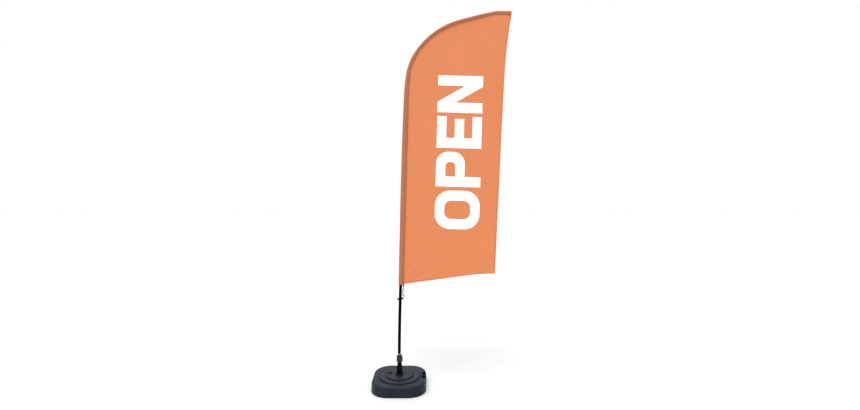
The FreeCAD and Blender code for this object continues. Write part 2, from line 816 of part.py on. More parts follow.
housing_circlip = circlip(
    "housing_circlip",
    "sizes.bearing_outer - 2.2",
    "sizes.bearing_outer + 0.8",
    f"{bearing_top} + 0.5",
    "1.2",
    "7",
)
pin_circlip = circlip(
    "pin_circlip",
    "sizes.bearing_inner - 0.85",
    "sizes.bearing_inner + 3",
    "sizes.low_bearing - 1.35",
    "1.2",
    "4",
)
spindle_pin = turned(
    "spindle_pin",
    ("0", "sizes.post_neck_top + 1.5"),
    ("sizes.bearing_inner - 0.6", "sizes.post_neck_top + 1.5"),
    ("sizes.bearing_inner", "sizes.post_neck_top + 2.1"),
    ("sizes.bearing_inner", "sizes.low_bearing - 1.4"),
    ("sizes.bearing_inner - 0.9", "sizes.low_bearing - 1.4"),
    ("sizes.bearing_inner - 0.9", "sizes.low_bearing - 0.1"),
    ("sizes.bearing_inner", "sizes.low_bearing - 0.1"),
    ("sizes.bearing_inner", f"{bearing_top} + 0.05"),
    ("sizes.spindle_radius", f"{bearing_top} + 0.05"),
    ("sizes.spindle_radius", "sizes.spindle_taper_start"),
    ("sizes.spindle_tip_radius", "sizes.spindle_top - 5"),
    ("sizes.spindle_tip_radius - 2.4", "sizes.spindle_top - 0.8"),
    ("0", "sizes.spindle_top"),
)

# ---------------------------------------------------------------- clamp nut and its slip washer

slip_washer = turned(
    "slip_washer",
    ("sizes.nut_hole_radius + 0.8", "sizes.housing_top + 0.05"),
    ("sizes.housing_radius + 0.1", "sizes.housing_top + 0.05"),
    ("sizes.housing_radius + 0.1", "sizes.housing_top + sizes.washer_thickness"),
    ("sizes.nut_hole_radius + 0.8", "sizes.housing_top + sizes.washer_thickness"),
)
clamp_nut = turned(
    "clamp_nut",
    ("sizes.post_neck_radius + 0.3", "sizes.nut_bottom"),
    ("sizes.nut_waist", "sizes.nut_bottom"),
    ("sizes.nut_radius - 0.8", "sizes.nut_bottom + 7"),
    ("sizes.nut_radius", "sizes.nut_bottom + 13"),
    ("sizes.nut_radius", "sizes.nut_bottom + 22"),
    ("sizes.nut_radius - 1.4", "sizes.nut_bottom + 34"),
    ("sizes.nut_radius - 4.2", "sizes.nut_top - 10"),
    ("sizes.nut_top_radius", "sizes.nut_top - 1"),
    ("sizes.nut_top_radius - 1.5", "sizes.nut_top"),
    ("sizes.nut_hole_radius", "sizes.nut_top"),
    ("sizes.nut_hole_radius", "sizes.housing_top + sizes.washer_thickness + 0.1"),
    ("sizes.housing_radius + 0.5", "sizes.housing_top + sizes.washer_thickness + 0.1"),
    ("sizes.housing_radius + 0.5", "sizes.nut_bottom + sizes.nut_thread_length"),
    ("sizes.post_neck_radius + 0.3", "sizes.nut_bottom + sizes.nut_thread_length"),
)
flutes(
    clamp_nut,
    "sizes.nut_radius + 0.6",
    "sizes.nut_flute_radius",
    "sizes.nut_bottom + 4",
    "sizes.nut_top - 12",
    "sizes.nut_flutes",
)

# ---------------------------------------------------------------- mast

foot_x = size("mast_foot_x")
mast_foot = at(foot_x, 0, size("mast_bottom"))
mast_foot.Rotation = FreeCAD.Rotation(FreeCAD.Vector(0, 1, 0), size("mast_foot_lean"))
foot_bush = turned(
    "foot_bush",
    ("sizes.lower_tube_bore - 0.7", "-2.5"),
    ("sizes.lower_tube_radius - 1", "-2.5"),
    ("sizes.lower_tube_radius + 0.5", "-1"),
    ("sizes.lower_tube_radius + 0.5", "0"),
    ("sizes.lower_tube_bore - sizes.fit_gap", "0"),
    ("sizes.lower_tube_bore - sizes.fit_gap", "30"),
    ("sizes.lower_tube_bore - 0.7", "30"),
)
foot_bush.Placement = mast_foot
lower_walls = (size("lower_tube_radius"), size("lower_tube_bore"))
lower_tube = feature("lower_tube", tube(*lower_walls, 0, size("lower_tube_length")))
plug_low = size("spindle_top") - size("mast_bottom") + 0.5
fit = size("fit_gap")
plug_high = plug_low + size("plug_length")
rest_plug = feature("rest_plug", rod(size("lower_tube_bore") - fit, plug_low, plug_high))
tube_top = size("lower_tube_length")
overlap = size("tube_overlap")


def reducer(label, bore, outer, flange, low, high):
    """A collar that centres a thinner tube in a wider one, with a flange on the wider one's end."""
    collar = tube(outer, bore, low, high)
    return feature(label, collar.fuse(tube(flange, bore, high, high + size("collar_flange"))))


lower_reducer = reducer(
    "lower_reducer",
    size("middle_tube_radius") + fit,
    size("lower_tube_bore") - fit,
    size("lower_tube_radius"),
    tube_top - overlap,
    tube_top,
)
middle_low, middle_top = tube_top - overlap, size("middle_tube_top")
middle_walls = (size("middle_tube_radius"), size("middle_tube_bore"))
middle_tube = feature("middle_tube", tube(*middle_walls, middle_low, middle_top))
upper_reducer = reducer(
    "upper_reducer",
    size("rod_radius") + fit,
    size("middle_tube_bore") - fit,
    size("middle_tube_radius"),
    middle_top - overlap,
    middle_top,
)
rod_top = size("rod_top")
upper_rod = feature("upper_rod", rod(size("rod_radius"), middle_top - overlap, rod_top))
ferrule_low, ferrule_high = rod_top - size("ferrule_half"), rod_top + size("ferrule_half")
sliver = 0.001
ferrule_shape = rod(size("rod_radius") + size("ferrule_wall"), ferrule_low, ferrule_high)
rod_socket = rod(size("rod_radius") + fit, ferrule_low - sliver, rod_top)
tip_rod_socket = rod(size("tip_rod_radius") + fit, rod_top - sliver, ferrule_high + sliver)
rod_ferrule = feature("rod_ferrule", ferrule_shape.cut(rod_socket).cut(tip_rod_socket))
tip_low, tip_high = rod_top + 1, MAST_LENGTH - size("tip_rod_end")
tip_rod = feature("tip_rod", rod(size("tip_rod_radius"), tip_low, tip_high))
tip_place = mast_at(tip_high + 4)[0]
cap_low = tip_high - size("tip_cap_grip")
cap_ball = Part.makeSphere(size("tip_cap_radius"), tip_place)
cap_skirt = rod(size("tip_rod_radius") + size("tip_cap_wall"), cap_low, tip_high + 2)
tip_socket = rod(size("tip_rod_radius") + fit, cap_low - sliver, tip_high)
tip_cap = feature("tip_cap", cap_ball.fuse(cap_skirt).cut(tip_socket))

# ---------------------------------------------------------------- flag


def hollow_sleeve(radius, seam, thickness, low, high):
    """A cloth tube round the mast, with a wall of one thickness."""
    outside = sweep(sleeve_section(radius, seam, low), low, high)
    inner_seam = seam - 2.4 * thickness
    inside = sweep(sleeve_section(radius - thickness, inner_seam, low), low, high)
    return outside.cut(inside)


cloth = size("cloth")
sleeve_radius, sleeve_seam = size("sleeve_radius"), size("sleeve_seam")
sleeve_low, sleeve_high = size("sleeve_start"), MAST_LENGTH - size("sleeve_end_gap")
sleeve_shape = hollow_sleeve(sleeve_radius, sleeve_seam, cloth, sleeve_low, sleeve_high)
pole_sleeve = feature("pole_sleeve", sleeve_shape)
pocket_low = MAST_LENGTH - size("pocket_length")
pocket_in = sleeve_radius + size("pocket_ease")
pocket_seam = sleeve_seam + 2 * size("pocket_ease")
outer_section = sleeve_section(pocket_in + cloth, pocket_seam + 2, pocket_low)
inner_section = sleeve_section(pocket_in, pocket_seam, pocket_low)
pocket_tube = sweep(outer_section, pocket_low, MAST_LENGTH)
pocket_space = sweep(inner_section, pocket_low, MAST_LENGTH - size("pocket_end_wall"))
tip_pocket = feature("tip_pocket", pocket_tube.cut(pocket_space))


def tangent_arc(start, lean, end):
    """The arc that leaves a place at a lean from upright and reaches another place."""
    chord = end - start
    half_turn = math.degrees(math.atan2(chord.x, chord.z)) - lean
    reach = chord.Length / (2 * math.cos(math.radians(half_turn / 2)))
    return Part.Arc(start, start + heading(lean + half_turn / 2) * reach, end).toShape()


def panel_outline():
    """The flag's edges: up the seam, down the free edge, and back along the bottom edge."""
    seam = size("sleeve_seam") - size("panel_tuck")
    panel_low = size("panel_start")
    low, top = mast_at(panel_low, seam)[0], mast_at(MAST_LENGTH, seam)[0]
    corner = FreeCAD.Vector(size("free_corner_x"), 0, size("free_corner_z"))
    bend = corner + heading(size("free_lean")) * size("free_straight")
    bottom_lean = 90 - size("bottom_slope")
    knee = low + heading(bottom_lean) * size("bottom_straight")
    edges = run(panel_low, MAST_LENGTH, seam)
    edges += [tangent_arc(bend, size("free_lean"), top), Part.LineSegment(bend, corner).toShape()]
    edges += [tangent_arc(knee, bottom_lean, corner), Part.LineSegment(knee, low).toShape()]
    return Part.Wire(Part.__sortEdges__(edges))


panel_slab = Part.Face(panel_outline()).extrude(FreeCAD.Vector(0, cloth, 0))
panel_slab.translate(FreeCAD.Vector(0, -cloth / 2, 0))
flag_panel = feature("flag_panel", panel_slab)

# ---------------------------------------------------------------- tension ring on the pole

tether_x = size("tether_x")
ring_place, ring_lean = mast_at(size("ring_distance"))
ring_disc = turned(
    "ring_disc",
    ("sizes.ring_bore", "1 - sizes.ring_thickness / 2"),
    ("sizes.ring_bore + 1", "-sizes.ring_thickness / 2"),
    ("sizes.ring_radius - 2", "-sizes.ring_thickness / 2"),
    ("sizes.ring_radius", "2 - sizes.ring_thickness / 2"),
    ("sizes.ring_radius", "sizes.ring_thickness / 2 - 2"),
    ("sizes.ring_radius - 2", "sizes.ring_thickness / 2"),
    ("sizes.ring_bore + 1", "sizes.ring_thickness / 2"),
    ("sizes.ring_bore", "sizes.ring_thickness / 2 - 1"),
)
ring_disc.Placement = FreeCAD.Placement(
    ring_place, FreeCAD.Rotation(FreeCAD.Vector(0, 1, 0), -size("ring_tilt"))
)
sideways = FreeCAD.Rotation(FreeCAD.Vector(0, 1, 0), 90)
lug_left = tether_x - size("lug_width") / 2
lug_eye = cylinder("lug_eye", "sizes.lug_radius", "sizes.lug_width")
lug_eye.Placement = FreeCAD.Placement(FreeCAD.Vector(lug_left, 0, size("lug_height")), sideways)
lug_stem = bind(
    doc.addObject("Part::Box", "lug_stem"),
    Length="sizes.lug_width",
    Width="2 * sizes.lug_radius - 3",
    Height=f"sizes.lug_height - {ring_place.z + 1}",
)
lug_stem.Placement = at(lug_left, 1.5 - size("lug_radius"), ring_place.z + 1)
lug_bore = cylinder("lug_bore", "sizes.lug_hole", "sizes.lug_width + 20")
lug_bore.Placement = FreeCAD.Placement(FreeCAD.Vector(lug_left - 10, 0, size("lug_height")), sideways)
tension_ring = cut("tension_ring", join("ring_with_lug", ring_disc, lug_eye, lug_stem), lug_bore)

# ---------------------------------------------------------------- snap hook with its gate and pin

wire = size("wire_radius")
half = size("hook_half")
left, right = tether_x - half, tether_x + half
hook_low, hook_high = size("hook_low"), size("hook_high")
pivot_z, gate_tip = size("gate_pivot"), size("gate_tip")


def upright(x, z):
    """A place in the plane that holds the mast and the flag."""
    return FreeCAD.Vector(x, 0, z)


def wire_rod(edges, radius, start, direction):
    """A round wire bent along tangent edges."""
    section = Part.Wire(Part.Circle(start, direction, radius).toShape())
    return Part.Wire(edges).makePipeShell([section], True, True)


wire_start = upright(left, gate_tip - 0.6)
bottom_bend = (upright(left, hook_low), upright(tether_x, hook_low - half), upright(right, hook_low))
top_bend = (upright(right, hook_high), upright(tether_x, hook_high + half), upright(left, hook_high))
hook_path = [
    Part.LineSegment(wire_start, bottom_bend[0]).toShape(),
    Part.Arc(*bottom_bend).toShape(),
    Part.LineSegment(bottom_bend[2], top_bend[0]).toShape(),
    Part.Arc(*top_bend).toShape(),
    Part.LineSegment(top_bend[2], upright(left, pivot_z - 2.4)).toShape(),
]
hook_shape = wire_rod(hook_path, wire, wire_start, FreeCAD.Vector(0, 0, -1))
pin_axis = FreeCAD.Vector(0, 1, 0)
pin_length = size("gate_pin_length")


def pin_rod(radius):
    """A rod on the gate's pivot axis, as long as its pin."""
    return Part.makeCylinder(radius, pin_length, FreeCAD.Vector(left, -pin_length / 2, pivot_z), pin_axis)


snap_hook = feature("snap_hook", hook_shape.cut(pin_rod(size("gate_pin_radius"))))
gate_pin = feature("gate_pin", pin_rod(size("gate_pin_radius")))
gate_low = pivot_z - size("gate_drop")
gate_half, cheek = size("gate_half_width"), size("gate_cheek")
cheek_width, cheek_height = size("gate_cheek_width"), size("gate_cheek_height")
gate_bar = Part.makeCylinder(wire, gate_low + 2.4 - gate_tip, upright(left, gate_tip))
cheeks = [
    Part.makeBox(cheek_width, cheek, cheek_height, FreeCAD.Vector(left - cheek_width / 2, y, gate_low))
    for y in (-gate_half, gate_half - cheek)
]
yoke_corner = FreeCAD.Vector(left - cheek_width / 2 + 0.2, -gate_half, gate_low)
yoke = Part.makeBox(cheek_width - 0.4, 2 * gate_half, 2, yoke_corner)
gate_shape = gate_bar.multiFuse([*cheeks, yoke])
hook_gate = feature("hook_gate", gate_shape.cut(pin_rod(size("gate_pin_radius") + fit)))

# ---------------------------------------------------------------- elastic loop, its crimp and the corner tab

strand = size("elastic_radius")
reach = size("elastic_half")
loop_low, loop_high = hook_high + half, size("tab_hole") - reach


def across(y, z):
    """A place in the elastic loop's own plane, square to the flag."""
    return FreeCAD.Vector(tether_x, y, z)


loop_path = [
    Part.LineSegment(across(-reach, loop_high), across(-reach, loop_low)).toShape(),
    Part.Arc(across(-reach, loop_low), across(0, loop_low - reach), across(reach, loop_low)).toShape(),
    Part.LineSegment(across(reach, loop_low), across(reach, loop_high)).toShape(),
    Part.Arc(across(reach, loop_high), across(0, loop_high + reach), across(-reach, loop_high)).toShape(),
]
loop_length = sum(edge.Length for edge in loop_path)
loop_shape = wire_rod(loop_path, strand, across(-reach, loop_high), FreeCAD.Vector(0, 0, -1))
if abs(loop_shape.Volume / (math.pi * strand**2 * loop_length) - 1) > 0.02:
    raise RuntimeError("the elastic loop has the wrong volume")
print(f"elastic loop {loop_length:.1f} mm round, bends of radius {reach} mm")
elastic_loop = feature("elastic_loop", loop_shape)
crimp_half = strand + size("crimp_wall")
crimp_low, crimp_height = size("crimp_low"), size("crimp_height")
crimp = Part.makeBox(
    2 * crimp_half,
    2 * (reach + crimp_half),
    crimp_height,
    FreeCAD.Vector(tether_x - crimp_half, -reach - crimp_half, crimp_low),
)
upright_edges = [edge for edge in crimp.Edges if edge.BoundBox.ZLength > crimp_height / 2]
crimp = crimp.makeFillet(size("crimp_corner"), upright_edges)
for y in (-reach, reach):
    crimp = crimp.cut(Part.makeCylinder(strand + fit, 2 * crimp_height, across(y, crimp_low - 4)))
loop_crimp = feature("loop_crimp", crimp)
tab = Part.makeBox(
    size("tab_width"),
    size("tab_thickness"),
    size("tab_high") - size("tab_low"),
    FreeCAD.Vector(tether_x - size("tab_width") / 2, -size("tab_thickness") / 2, size("tab_low")),
)
hole_start = FreeCAD.Vector(tether_x, -10, size("tab_hole"))
tab_hole = Part.makeCylinder(strand + 0.3, 20, hole_start, pin_axis)
corner_tab = feature("corner_tab", tab.cut(tab_hole))

# ---------------------------------------------------------------- checks and files

NODES = [
    "water_tank", "filler_cap", "cap_seal", "vent_plug", "pole_post", "post_gasket",
    "bearing_housing", "outer_races", "inner_races", "bearing_balls", "race_spacer",
    "housing_circlip", "pin_circlip", "spindle_pin", "slip_washer", "clamp_nut",
    "foot_bush", "rest_plug", "lower_tube", "lower_reducer", "middle_tube", "upper_reducer",
    "upper_rod", "rod_ferrule", "tip_rod", "tip_cap", "pole_sleeve", "tip_pocket", "flag_panel",
    "corner_tab", "tension_ring", "snap_hook", "hook_gate", "gate_pin", "elastic_loop", "loop_crimp",
]
doc.recompute()
for item in doc.Objects:
    if "Invalid" in item.State or "Error" in item.State:
        raise RuntimeError(f"{item.Label} did not recompute: {item.State}")
for label in NODES:
    shape = doc.getObjectsByLabel(label)[0].Shape
    if shape.isNull() or not shape.isValid() or not shape.Solids:
        raise RuntimeError(f"{label} is not a valid solid")
    box = shape.BoundBox
    print(
        f"{label:18} solids {len(shape.Solids):2} volume {shape.Volume:12.1f}"
        f"  x {box.XMin:8.1f} {box.XMax:8.1f}  y {box.YMin:7.1f} {box.YMax:7.1f}"
        f"  z {box.ZMin:8.1f} {box.ZMax:8.1f}"
    )
    shape.exportStep(f"parts/{label}.step")
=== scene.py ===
import math

import bmesh
import bpy
import numpy as np
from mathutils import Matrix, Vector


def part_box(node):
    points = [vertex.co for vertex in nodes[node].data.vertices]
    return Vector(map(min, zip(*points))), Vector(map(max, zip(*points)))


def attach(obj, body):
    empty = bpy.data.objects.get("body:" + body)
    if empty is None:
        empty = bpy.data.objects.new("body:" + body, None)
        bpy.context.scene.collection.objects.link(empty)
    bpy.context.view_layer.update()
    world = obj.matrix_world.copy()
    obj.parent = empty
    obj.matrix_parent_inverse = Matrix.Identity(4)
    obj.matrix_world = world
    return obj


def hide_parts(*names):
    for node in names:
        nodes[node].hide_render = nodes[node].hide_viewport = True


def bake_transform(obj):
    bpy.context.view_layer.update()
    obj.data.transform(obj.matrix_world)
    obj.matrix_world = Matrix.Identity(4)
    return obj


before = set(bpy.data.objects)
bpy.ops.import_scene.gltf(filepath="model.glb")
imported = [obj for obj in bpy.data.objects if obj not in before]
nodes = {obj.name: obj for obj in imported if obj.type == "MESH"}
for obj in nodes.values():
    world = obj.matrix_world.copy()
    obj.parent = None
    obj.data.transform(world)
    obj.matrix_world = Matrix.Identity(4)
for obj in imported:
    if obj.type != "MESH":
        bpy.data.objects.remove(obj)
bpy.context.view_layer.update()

# ---------------------------------------------------------------- camera, light and floor
# The camera stands level in front of the flag, a little below the middle of its height.
# A broad soft lamp high above and a white sky light it evenly, as in a white studio.

scene = bpy.context.scene
scene.view_settings.view_transform = "Standard"
eye = bpy.data.objects.new("camera", bpy.data.cameras.new("camera"))
eye.data.sensor_width = 36
eye.data.lens = 16.744
eye.data.clip_end = 200
eye.location = (0.2508, -3.3, 1.49)
eye.rotation_euler = (math.radians(90), 0, 0)
scene.collection.objects.link(eye)
scene.camera = eye

sky = bpy.data.worlds.new("studio")
sky.use_nodes = True
sky.node_tree.nodes["Background"].inputs["Color"].default_value = (1, 1, 1, 1)
sky.node_tree.nodes["Background"].inputs["Strength"].default_value = 1.0
scene.world = sky


overhead = bpy.data.lights.new("overhead", "SUN")
overhead.energy = 2.9
overhead.angle = math.radians(50)
stand = bpy.data.objects.new("overhead", overhead)
stand.rotation_euler = (math.radians(14), math.radians(-8), 0)
scene.collection.objects.link(stand)


class Link:
    """An output of a node, on which the usual signs add Math nodes."""

    def __init__(self, finish, socket):
        self.finish = finish
        self.socket = socket

    def maths(self, operation, *others):
        return self.finish.node("ShaderNodeMath", {"operation": operation}, (self, *others))

    def swapped(self, operation, other):
        return self.finish.node("ShaderNodeMath", {"operation": operation}, (other, self))

    def __add__(self, other):
        return self.maths("ADD", other)

    def __sub__(self, other):
        return self.maths("SUBTRACT", other)

    def __mul__(self, other):
        return self.maths("MULTIPLY", other)

    def __truediv__(self, other):
        return self.maths("DIVIDE", other)

    def __gt__(self, other):
        return self.maths("GREATER_THAN", other)

    def __lt__(self, other):
        return self.maths("LESS_THAN", other)

    def __pow__(self, other):
        return self.maths("POWER", other)

    def __abs__(self):
        return self.maths("ABSOLUTE")

    def __rsub__(self, other):
        return self.swapped("SUBTRACT", other)

    __radd__ = __add__
    __rmul__ = __mul__

    def sine(self):
        return self.maths("SINE")

    def at_least(self, other):
        return self.maths("MAXIMUM", other)

    def at_most(self, other):
        return self.maths("MINIMUM", other)


class Finish:
    """A material being built round one Principled shader. Numbers that don't vary are set on it."""

    def __init__(self, name, **constants):
        self.material = bpy.data.materials.new(name)
        self.material.use_nodes = True
        self.tree = self.material.node_tree
        self.shader = self.tree.nodes["Principled BSDF"]
        for socket, value in constants.items():
            self.shader.inputs[socket.replace("_", " ")].default_value = value

    def node(self, kind, settings=None, inputs=None, output=0):
        """Any node: its settings first, then its inputs by place or by name."""
        made = self.tree.nodes.new(kind)
        for name, value in (settings or {}).items():
            setattr(made, name, value)
        named = inputs.items() if isinstance(inputs, dict) else enumerate(inputs or ())
        for name, value in named:
            self.join(made.inputs[name], value)
        return Link(self, made.outputs[output])

    def join(self, socket, value):
        """Links a socket, or sets its number or colour."""
        if isinstance(value, Link):
            self.tree.links.new(value.socket, socket)
        else:
            socket.default_value = value

    def place(self):
        """Where a point of the piece is, in metres."""
        return self.node("ShaderNodeTexCoord", output="Object")

    def parts(self, vector):
        """The three numbers of a vector."""
        split = self.node("ShaderNodeSeparateXYZ", inputs=(vector,))
        return [Link(self, socket) for socket in split.socket.node.outputs]

    def noise(self, vector, scale, detail=2.0, roughness=0.5):
        """Smooth noise from 0 to 1 whose lumps are about 1 / scale metres wide."""
        inputs = {"Vector": vector, "Scale": scale, "Detail": detail, "Roughness": roughness}
        return self.node("ShaderNodeTexNoise", inputs=inputs)

    def mix(self, factor, first, second):
        """The first colour where the factor is 0 and the second where it is 1."""
        inputs = {"Factor": factor, 6: first, 7: second}
        return self.node("ShaderNodeMix", {"data_type": "RGBA"}, inputs, output=2)

    def bump(self, height, distance, strength=1.0):
        """Raises the surface by a height of 0 to 1 times a distance in metres."""
        inputs = {"Height": height, "Distance": distance, "Strength": strength}
        self.join(self.shader.inputs["Normal"], self.node("ShaderNodeBump", inputs=inputs))

    def colour(self, value):
        self.painted = value
        self.join(self.shader.inputs["Base Color"], value)

    def roughness(self, value):
        self.join(self.shader.inputs["Roughness"], value)


def shade(colour, factor):
    """A colour made darker or lighter."""
    return (*[part * factor for part in colour[:3]], 1.0)


floor_finish = Finish("pale_floor", Roughness=0.9)
floor_tone = floor_finish.noise(floor_finish.place(), 0.7)
floor_finish.colour(floor_finish.mix(floor_tone, (0.56, 0.56, 0.56, 1), (0.6, 0.6, 0.6, 1)))
floor_mesh = bpy.data.meshes.new("floor")
reach = 60.0
corners = [(-reach, -reach, 0), (reach, -reach, 0), (reach, reach, 0), (-reach, reach, 0)]
floor_mesh.from_pydata(corners, [], [(0, 1, 2, 3)])
floor_mesh.materials.append(floor_finish.material)
floor = bpy.data.objects.new("floor", floor_mesh)
scene.collection.objects.link(floor)

# ---------------------------------------------------------------- water tank
# A square tank blow-moulded in dark grey polyethylene, with round corners and two round terraces.
# Its skin has a fine sandy grain, is a little duller where it has been handled, and carries a thin
# flash line round its foot where the two halves of the mould met.


def paint(finish, *names):
    """Gives a finish to CAD nodes."""
    for name in names:
        mesh = nodes[name].data
        mesh.materials.clear()
        mesh.materials.append(finish.material)


def moulded(name, colour, grain=700.0, rough=0.5, worn=1.5, depth=0.00015, gloss=0.1):
    """Moulded plastic: fine grain, cloudy gloss, and light rubbed specks."""
    finish = Finish(name, Specular_IOR_Level=gloss)
    place = finish.place()
    cloud = finish.noise(place, 9.0, 3.0)
    fine = finish.noise(place, grain, 2.0, 0.6)
    specks = (finish.noise(place, 160.0, 4.0, 0.7) > 0.66) * (cloud > 0.5)
    tone = finish.mix(cloud, shade(colour, 0.9), shade(colour, 1.12))
    finish.colour(finish.mix(specks * 0.35, tone, shade(colour, worn)))
    finish.roughness(rough - 0.06 + 0.12 * cloud + 0.08 * fine)
    finish.bump(fine, depth)
    return finish


tank_plastic = moulded("tank_plastic", (0.0125, 0.016, 0.0235), grain=620.0, rough=0.4, depth=0.0003)
# Painted shade darkens the crease at the foot of each terrace.
east, north, _ = tank_plastic.parts(tank_plastic.place())
from_axis = (east * east + north * north) ** 0.5
crease_shade = sum((1 - abs(from_axis - radius) / 0.006).at_least(0.0) for radius in (0.1125, 0.1705))
painted_crease_shade = (0.003, 0.004, 0.006, 1)
tank_plastic.colour(tank_plastic.mix(crease_shade * 0.75, tank_plastic.painted, painted_crease_shade))
paint(tank_plastic, "water_tank")


def surface(name, points, finish, wrap=(False, False), cloth=None):
    """A piece from a grid of points. Wrap closes it along its rows or across them, and cloth is a
    grid of flat places, in metres, kept as the UV map that a woven finish reads."""
    rows, columns = points.shape[:2]
    row = np.arange(rows if wrap[0] else rows - 1)
    column = np.arange(columns if wrap[1] else columns - 1)
    row, column = [grid.ravel() for grid in np.meshgrid(row, column, indexing="ij")]
    next_row, next_column = (row + 1) % rows, (column + 1) % columns
    corners = [(row, column), (row, next_column), (next_row, next_column), (next_row, column)]
    faces = np.stack([here * columns + across for here, across in corners], axis=1)
    return piece(name, points.reshape(-1, 3), faces, finish, cloth)


def piece(name, points, faces, finish, cloth=None):
    """A mesh object from points and faces, smooth shaded, with its faces turned outwards."""
    mesh = bpy.data.meshes.new(name)
    mesh.from_pydata(points.tolist(), [], faces.tolist())
    mesh.polygons.foreach_set("use_smooth", np.ones(len(faces), bool))
    if cloth is not None:
        flat = mesh.uv_layers.new(name="cloth")
        corner = np.empty(len(mesh.loops), np.int32)
        mesh.loops.foreach_get("vertex_index", corner)
        flat.data.foreach_set("uv", cloth.reshape(-1, 2)[corner].astype(np.float32).ravel())
    shaped = bmesh.new()
    shaped.from_mesh(mesh)
    bmesh.ops.recalc_face_normals(shaped, faces=shaped.faces)
    shaped.to_mesh(mesh)
    shaped.free()
    mesh.materials.append(finish.material)
    made = bpy.data.objects.new(name, mesh)
    scene.collection.objects.link(made)
    return made


def tank_outline(half, corner, count):
    """Places and outward directions round a square with round corners: four quarter circles, each
    joined to the next by a straight side."""
    turn = np.linspace(0, 2 * math.pi, 4 * count, endpoint=False)
    quarter = np.repeat(np.arange(4), count)
    angle = quarter * math.pi / 2 + (turn - quarter * math.pi / 2) * count / (count - 1)
    out = np.stack([np.cos(angle), np.sin(angle)], axis=1)
    middle = (half - corner) * np.stack(
        [np.array([1, -1, -1, 1])[quarter], np.array([1, 1, -1, -1])[quarter]], axis=1
    )
    return middle + corner * out, out


flash_level, flash_height, flash_proud = 0.022, 0.0011, 0.0006
tank_half, tank_corner, tank_draft = 0.22, 0.14, math.tan(math.radians(2))
flash_inset = flash_level * tank_draft
around, outward = tank_outline(tank_half - flash_inset, tank_corner - flash_inset, 24)
lip = [(-0.001, -1), (0, -1), (flash_proud, -0.3), (flash_proud, 0.3), (0, 1), (-0.001, 1)]
profile = np.array(lip)
flash = np.empty((len(around), len(profile), 3))
flash[..., :2] = around[:, None] + outward[:, None] * profile[None, :, :1]
flash[..., 2] = flash_level + profile[None, :, 1] * flash_height
mould_line = surface("tank_mould_line", flash, tank_plastic, wrap=(True, True))
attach(mould_line, "base")

# ---------------------------------------------------------------- filler cap, its seal and the vent plug
# The filler cap is ribbed black polypropylene over a soft rubber seal. The vent plug is a soft
# black rubber disc that is pressed into a dish in the top terrace.

cap_plastic = moulded("cap_plastic", (0.0035, 0.0035, 0.004), grain=900.0, rough=0.5, worn=3.0)
soft_rubber = moulded("soft_rubber", (0.0045, 0.0045, 0.005), grain=1300.0, rough=0.72, worn=2.0)
paint(cap_plastic, "filler_cap")
paint(soft_rubber, "cap_seal", "vent_plug", "post_gasket")

# ---------------------------------------------------------------- post
# The post is injection-moulded in black plastic, with a satin skin and a faint blue cast. It
# screws into the tank's well on a rubber gasket.

post_plastic = moulded("post_plastic", (0.002, 0.0035, 0.005), grain=1100.0, rough=0.4, worn=2.5, gloss=0.05)
paint(post_plastic, "pole_post", "foot_bush", "rest_plug", "lower_reducer", "upper_reducer", "tip_cap")

# ---------------------------------------------------------------- bearing housing, bearings and spindle
# Turned steel: the lathe leaves fine rings round it, and the zinc plating is slightly cloudy.


def turned_steel(name, colour, rough, rings=2600.0):
    """Steel with lathe rings square to Z and a cloudy plating."""
    finish = Finish(name, Metallic=1.0)
    place = finish.place()
    height = finish.parts(place)[2]
    cloud = finish.noise(place, 60.0, 3.0)
    ring = (height * rings + 2.0 * cloud).sine() * 0.5 + 0.5
    finish.colour(finish.mix(cloud, shade(colour, 0.82), shade(colour, 1.06)))
    finish.roughness(rough + 0.12 * cloud + 0.05 * ring)
    finish.bump(ring, 0.00002)
    return finish


plated_steel = turned_steel("plated_steel", (0.66, 0.66, 0.64), 0.24)
ground_steel = turned_steel("ground_steel", (0.72, 0.72, 0.73), 0.12, rings=5200.0)
paint(plated_steel, "bearing_housing", "race_spacer", "housing_circlip", "pin_circlip")
paint(plated_steel, "spindle_pin", "slip_washer")
paint(ground_steel, "outer_races", "inner_races", "bearing_balls")

# ---------------------------------------------------------------- clamp nut
# The ribbed hand nut is moulded in a dark warm grey plastic, with a painted highlight along its ribs.

nut_plastic = moulded("nut_plastic", (0.026, 0.024, 0.022), grain=800.0, rough=0.46, worn=2.2)
east, north, _ = nut_plastic.parts(nut_plastic.place())
from_axis = (east * east + north * north) ** 0.5
# Painted highlight: the outer edge of each rib is coloured lighter.
rib_top_highlight = ((from_axis - 0.0238) * 600.0).at_least(0.0).at_most(1.0)
painted_rib_highlight = (0.07, 0.065, 0.06, 1)
nut_plastic.colour(nut_plastic.mix(rib_top_highlight * 0.55, nut_plastic.painted, painted_rib_highlight))
paint(nut_plastic, "clamp_nut")

# ---------------------------------------------------------------- mast
# Two black anodised aluminium tubes and two black fibreglass rods that push into each other, with
# plastic collars between them. The upper rod is drawn into a curve by the flag.


def drawn_tube(name, colour, rough, metal):
    """A drawn or pultruded length: faint streaks that run along it, and a few handling marks."""
    finish = Finish(name, Metallic=metal, Specular_IOR_Level=0.02)
    place = finish.place()
    stretched = finish.node(
        "ShaderNodeMapping", inputs={"Vector": place, "Scale": (1.0, 1.0, 0.02)}
    )
    streak = finish.noise(stretched, 900.0, 3.0, 0.6)
    marks = finish.noise(place, 35.0, 5.0, 0.65) > 0.68
    tone = finish.mix(streak, shade(colour, 0.75), shade(colour, 1.3))
    finish.colour(finish.mix(marks * 0.3, tone, shade(colour, 3.0)))
    finish.roughness(rough + 0.1 * streak + 0.08 * marks)
    finish.bump(streak, 0.00003)
    return finish


anodised = drawn_tube("black_anodised", (0.0014, 0.0014, 0.0016), 0.45, 0.0)
fibreglass = drawn_tube("fibreglass", (0.003, 0.003, 0.0035), 0.3, 0.0)
paint(anodised, "lower_tube", "middle_tube", "rod_ferrule")
paint(fibreglass, "upper_rod", "tip_rod")
